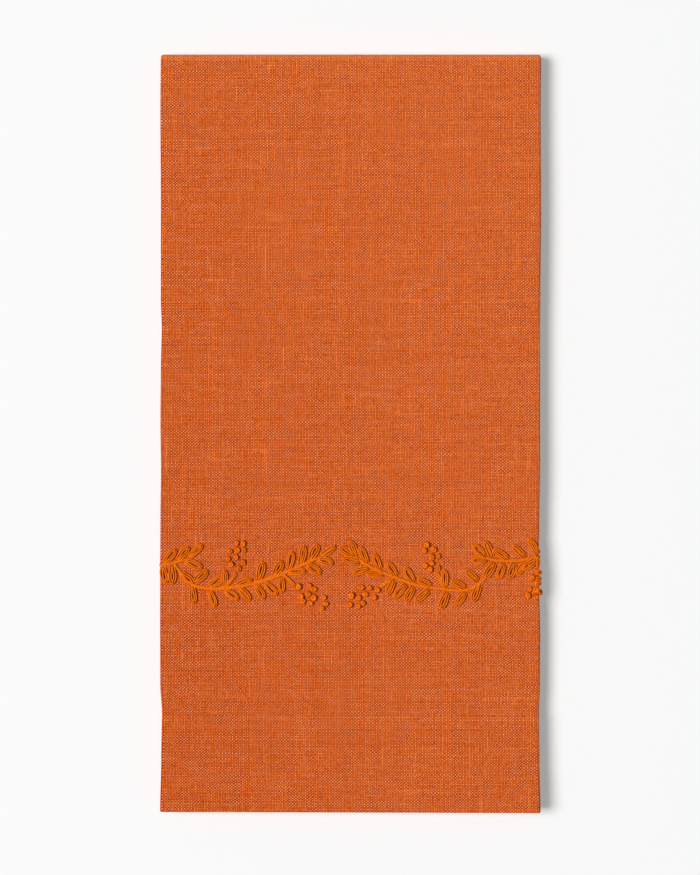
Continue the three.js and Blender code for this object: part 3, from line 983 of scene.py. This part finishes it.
# %% Leaf stitch
LEAF_LENGTH = 5.7
LEAF_FOOT = 0.8
LEAF_HALF_WIDTH = 1.12
LEAF_HEEL = 0.7
LEAF_SHOULDER = 0.62
FLOSS_RADIUS = 0.27
FLOSS_STEP = 0.63
FLOSS = [{"lift": 0.4, "opening": 1.1}, {"lift": 0.58, "opening": 2.4}]
HEEL_CLOSING = 0.78
LEAF_SPREAD = {"length": 0.08, "plump": 0.16, "bend": 0.5, "inset": 0.2, "tack": 0.2}
LEAF_SINK = 0.3
LEAF_SINK_REACH = 0.9
LEAF_ARCH = 0.08
TACK = {"start": 1.9, "length": 1.35, "sink": 0.25, "height": 1.05, "fullness": 0.7}


def spread(foot, heading, ahead, aside):
    c, s = math.cos(heading), math.sin(heading)
    return foot[0] + ahead * c - aside * s, foot[1] + ahead * s + aside * c


def leaf_stitch(strands, foot, heading, length, seed):
    plump = LEAF_HALF_WIDTH * (1.0 + LEAF_SPREAD["plump"] * wobble(seed + 11))
    bend = LEAF_SPREAD["bend"] * wobble(seed + 5)
    rise = np.linspace(0.0, 1.0, 9)[:-1]
    tip = np.linspace(0.0, math.pi, 15)
    shoulder = LEAF_SHOULDER * length
    for number, strand in enumerate(FLOSS):
        inset = number * FLOSS_STEP * (1.0 + LEAF_SPREAD["inset"] * wobble(seed + 7))
        wide = plump - inset
        heel = LEAF_HEEL - HEEL_CLOSING * inset
        side = heel + (wide - heel) * np.sin(rise * math.pi / 2) ** strand["opening"]
        ahead = np.concatenate([shoulder * rise, shoulder + (length - shoulder - inset) * np.sin(tip),
                                shoulder * rise[::-1]])
        aside = np.concatenate([side, wide * np.cos(tip), -side[::-1]]) + bend * (ahead / length) ** 2
        lift = -LEAF_SINK + (LEAF_SINK + strand["lift"]) * smooth(ahead, 0.0, LEAF_SINK_REACH)
        lift = lift + LEAF_ARCH * np.sin(math.pi * ahead / length)
        x, y = spread(foot, heading, ahead, aside)
        strands.add(x, y, lift, FLOSS_RADIUS)
    t = np.linspace(0, 1, 11)
    ahead = length - TACK["start"] * FLOSS_STEP + TACK["length"] * t
    aside = bend * (ahead / length) ** 2 + LEAF_SPREAD["tack"] * wobble(seed + 2) * t
    x, y = spread(foot, heading, ahead, aside)
    lift = -TACK["sink"] + TACK["height"] * np.sin(math.pi * t) ** TACK["fullness"]
    strands.add(x, y, lift, FLOSS_RADIUS)


print("strands in a leaf:", len(FLOSS), "length, mm:", LEAF_LENGTH)

# %% [markdown]
# ## Stems, sprigs and berries
# The stem is stem stitch: each long stitch is laid a little slantwise and starts half a stitch behind the
# end of the last, which makes a flat rope. A sprig is two straight stitches side by side. A berry is a
# wrapped knot: the thread is wound round the needle, so it is a coil of two turns that climbs and
# narrows, and its end dips into the middle.

# %% Stem stitch, sprig and knot
STEM_STITCH = 6.4
STEM_STRAND = 0.25
SPRIG_RADIUS = 0.33
KNOT_COIL = 0.73
KNOT_STRAND = 0.35
KNOT_TURNS = 2.1
KNOT_WOUND = 0.85
KNOT_SPREAD = {"size": 0.15, "squash": 0.2, "place": 0.2}
KNOT_RADIUS = {"narrowing": 0.24, "dip": 1.15}
KNOT_LIFT = {"low": 0.28, "climb": 0.46, "dip": 0.22, "tilt": 0.14}
KNOT_ROW_PITCH = 2.1
KNOT_START = 1.1
STITCH_SINK = 0.25
STEM_REACH = 2.1
STEM_SLANT = 0.2
STEM_SPREAD = 0.05
STEM_LIFT = {"middle": 0.68, "fall": 0.35}
SPRIG_HALF_GAP = 0.31
SPRIG_LIFT = 0.65


def stem_stitches(strands, line, along, offsets, seed):
    count = max(2, int(round(along[-1] / (STEM_STITCH / 2))) - 1)
    t = np.linspace(0, 1, 14)
    for i in range(count):
        start = along[-1] * i / (count + 1)
        distance = np.clip(start + STEM_REACH * along[-1] / (count + 1) * t, 0, along[-1])
        places = np.array([stem_place(line, along, d)[0] for d in distance])
        headings = np.array([stem_place(line, along, d)[1] for d in distance])
        for number, offset in enumerate(offsets):
            slim = 0.7 + 0.3 * np.sin(math.pi * distance / along[-1])
            aside = slim * (offset + STEM_SLANT * (1 - 2 * t)) + STEM_SPREAD * wobble(seed + 3 * i + number)
            x = places[:, 0] - aside * np.sin(headings)
            y = places[:, 1] + aside * np.cos(headings)
            height = STEM_LIFT["middle"] - STEM_LIFT["fall"] * abs(offset)
            strands.add(x, y, -STITCH_SINK + height * np.sin(math.pi * t) ** 0.5, STEM_STRAND)


def sprig_stitches(strands, start, end):
    way = math.atan2(end[1] - start[1], end[0] - start[0])
    length = math.hypot(end[0] - start[0], end[1] - start[1])
    t = np.linspace(0, 1, 12)
    for offset in (-SPRIG_HALF_GAP, SPRIG_HALF_GAP):
        x, y = spread(start, way, length * t, offset * (0.75 + 0.25 * t))
        strands.add(x, y, -STITCH_SINK + SPRIG_LIFT * np.sin(math.pi * t) ** 0.4, SPRIG_RADIUS)


def wrapped_knot(strands, place, seed):
    t = np.linspace(0, 1, 52)
    turn = 2 * math.pi * (KNOT_TURNS * np.minimum(t / KNOT_WOUND, 1.0) + 0.5 * wobble(seed))
    size = 1.0 + KNOT_SPREAD["size"] * wobble(seed + 9)
    squash = KNOT_SPREAD["squash"] * wobble(seed + 4)
    climb = smooth(t, 0.25, 0.75)
    dip = smooth(t, 0.82, 1.0)
    radius = size * KNOT_COIL * (1 - KNOT_RADIUS["narrowing"] * climb) * (1 - KNOT_RADIUS["dip"] * dip)
    lift = KNOT_LIFT["low"] + KNOT_LIFT["climb"] * climb - KNOT_LIFT["dip"] * dip
    lift = lift + KNOT_LIFT["tilt"] * np.cos(turn + seed)
    x = place[0] + (1 + squash) * radius * np.cos(turn)
    y = place[1] + (1 - squash) * radius * np.sin(turn)
    strands.add(x, y, lift, KNOT_STRAND * size)


def bunch_places(start, toward, rows, number):
    places = []
    for row, asides in enumerate(rows):
        for aside in asides:
            shift = KNOT_SPREAD["place"] * wobble(number * 40 + len(places))
            forward = KNOT_START + KNOT_ROW_PITCH * (row + shift)
            places.append(spread(start, math.radians(toward), forward, aside))
    return places


print("knot diameter, mm:", 2 * (KNOT_COIL + KNOT_STRAND))

# %% [markdown]
# ## Work the garlands
# Now the chart is stitched: stem first, then the leaves on both sides, then the bunches. Each garland
# becomes one mesh that takes the place of the plain solid of the same name.

# %% Stitch both garlands
def work_spray(strands, spray, number):
    line, along = stem_line(spray["stem"])
    stem_stitches(strands, line, along, spray["strands"], number * 17)
    upper = 1 if line[-1][0] > line[0][0] else -1
    for side, row in ((upper, spray["above"]), (-upper, spray["below"])):
        for i, (distance, lean) in enumerate(zip(row["at"], row["lean"])):
            seed = number * 100 + side * 30 + i
            place, way = stem_place(line, along, min(distance, along[-1]))
            heading = way + side * math.radians(lean)
            foot = spread(place, heading, LEAF_FOOT, 0.0)
            length = LEAF_LENGTH * (1 + LEAF_SPREAD["length"] * wobble(seed))
            leaf_stitch(strands, foot, heading, length, seed)
    for index, bunch in enumerate(spray["berries"]):
        start, _ = stem_place(line, along, bunch["at"])
        end = spread(start, math.radians(bunch["heading"]), bunch["length"], 0.0)
        sprig_stitches(strands, start, end)
        for i, place in enumerate(bunch_places(end, bunch["toward"], bunch["rows"], number * 2 + index)):
            wrapped_knot(strands, place, number * 60 + index * 20 + i)


for side, (name, sprays) in enumerate(GARLANDS.items()):
    strands = Strands()
    for index, spray in enumerate(sprays):
        work_spray(strands, spray, side * 2 + index + 1)
    garland = strands.build("stitched_" + name, border_thread)
    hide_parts(name)
    print(garland.name, "faces:", len(garland.data.polygons))

# %% [markdown]
# ## Hem stitches
# The hem is caught down by hand with tiny stitches in thread of the linen's own colour, about two
# millimetres apart. Each is a short strand that sinks at both ends into the pricks where the weave's
# material already paints shade.

# %% Sew the hem
HEM_STITCH = {"length": 0.42, "slant": 0.18, "sink": 0.12, "height": 0.18, "radius": 0.11}
HEM_SPREAD = {"place": 0.15, "slant": 0.06}


def sew_hem():
    strands = Strands()
    first = math.ceil((FRONT_MIDDLE - FOLDED_WIDTH / 2) / HEM_STITCH_PITCH)
    t = np.linspace(0, 1, 7)
    for i in range(first, first + int(FOLDED_WIDTH / HEM_STITCH_PITCH)):
        x = (i + 0.5) * HEM_STITCH_PITCH - FRONT_MIDDLE
        y = FRONT_HEM_Y + HEM_DEPTH + HEM_SPREAD["place"] * wobble(i)
        slant = HEM_STITCH["slant"] + HEM_SPREAD["slant"] * wobble(i + 40)
        lift = -HEM_STITCH["sink"] + HEM_STITCH["height"] * np.sin(np.pi * t)
        strands.add(x + HEM_STITCH["length"] * (t - 0.5), y + slant * (t - 0.5), lift, HEM_STITCH["radius"])
    return strands.build("hem_stitches", hem_thread)


hem_stitches = sew_hem()
print("hem stitch faces:", len(hem_stitches.data.polygons))

# %% [markdown]
# ## Floor, light and camera
# The towel lies on a plain white floor under one large soft light high on the left, which gives the
# narrow shadow along its right side, and an even pale sky fills the rest. The camera looks straight down
# with a long lens, so the sides don't show, and it frames the towel with room above and below.

# %% Floor
FLOOR_SIZE = 6.0
FLOOR_ALBEDO = 0.64
FLOOR_GLOW = {"colour": (0.94, 1.0, 1.0, 1.0), "strength": 0.275}


def make_floor():
    bpy.ops.mesh.primitive_plane_add(size=FLOOR_SIZE, location=(0, 0, -0.1 * MM))
    floor = bpy.context.object
    floor.name = "floor"
    s = Shader("floor_paper")
    s.surface.inputs["Base Color"].default_value = (FLOOR_ALBEDO, FLOOR_ALBEDO, FLOOR_ALBEDO, 1.0)
    s.finish(roughness=0.9, specular=0.0)
    s.surface.inputs["Emission Color"].default_value = FLOOR_GLOW["colour"]
    s.surface.inputs["Emission Strength"].default_value = FLOOR_GLOW["strength"]
    floor.data.materials.append(s.material)
    return floor


floor = make_floor()
print("floor:", floor.name)

# %% Light
KEY_ELEVATION = 56.5
KEY_DISTANCE = 9.0
KEY_WIDTH = 4.7
KEY_ENERGY = 980.0
KEY_COLOUR = (1.0, 0.95, 0.947)
SKY = {"colour": (0.8, 1.0, 1.02, 1.0), "strength": 0.15}


def make_light():
    world = bpy.data.worlds.new("pale_sky")
    world.use_nodes = True
    background = world.node_tree.nodes["Background"]
    background.inputs["Color"].default_value = SKY["colour"]
    background.inputs["Strength"].default_value = SKY["strength"]
    bpy.context.scene.world = world
    data = bpy.data.lights.new("left_softbox", "AREA")
    data.shape = "DISK"
    data.size = KEY_WIDTH
    data.energy = KEY_ENERGY
    data.color = KEY_COLOUR
    key = bpy.data.objects.new("left_softbox", data)
    height = math.radians(KEY_ELEVATION)
    key.location = (-KEY_DISTANCE * math.cos(height), 0.0, KEY_DISTANCE * math.sin(height))
    key.rotation_euler = (0.0, -(math.pi / 2 - height), 0.0)
    key.visible_camera = False
    bpy.context.collection.objects.link(key)
    return key


key = make_light()
print("key light at, m:", [round(v, 2) for v in key.location])

# %% Camera
IMAGE_HEIGHT = 875
MM_PER_PIXEL = 0.3345
LENS = 120.0
SENSOR = 36.0
CAMERA_SHIFT = (-0.2, -1.4)


def make_camera():
    data = bpy.data.cameras.new("camera")
    data.lens = LENS
    data.sensor_width = SENSOR
    camera = bpy.data.objects.new("camera", data)
    distance = IMAGE_HEIGHT * MM_PER_PIXEL * LENS / SENSOR
    camera.location = (CAMERA_SHIFT[0] * MM, CAMERA_SHIFT[1] * MM, (2 * AXIS_Z + distance) * MM)
    bpy.context.collection.objects.link(camera)
    bpy.context.scene.camera = camera
    bpy.context.scene.view_settings.view_transform = "Standard"
    return camera


camera = make_camera()
print("camera height, m:", round(camera.location.z, 3))
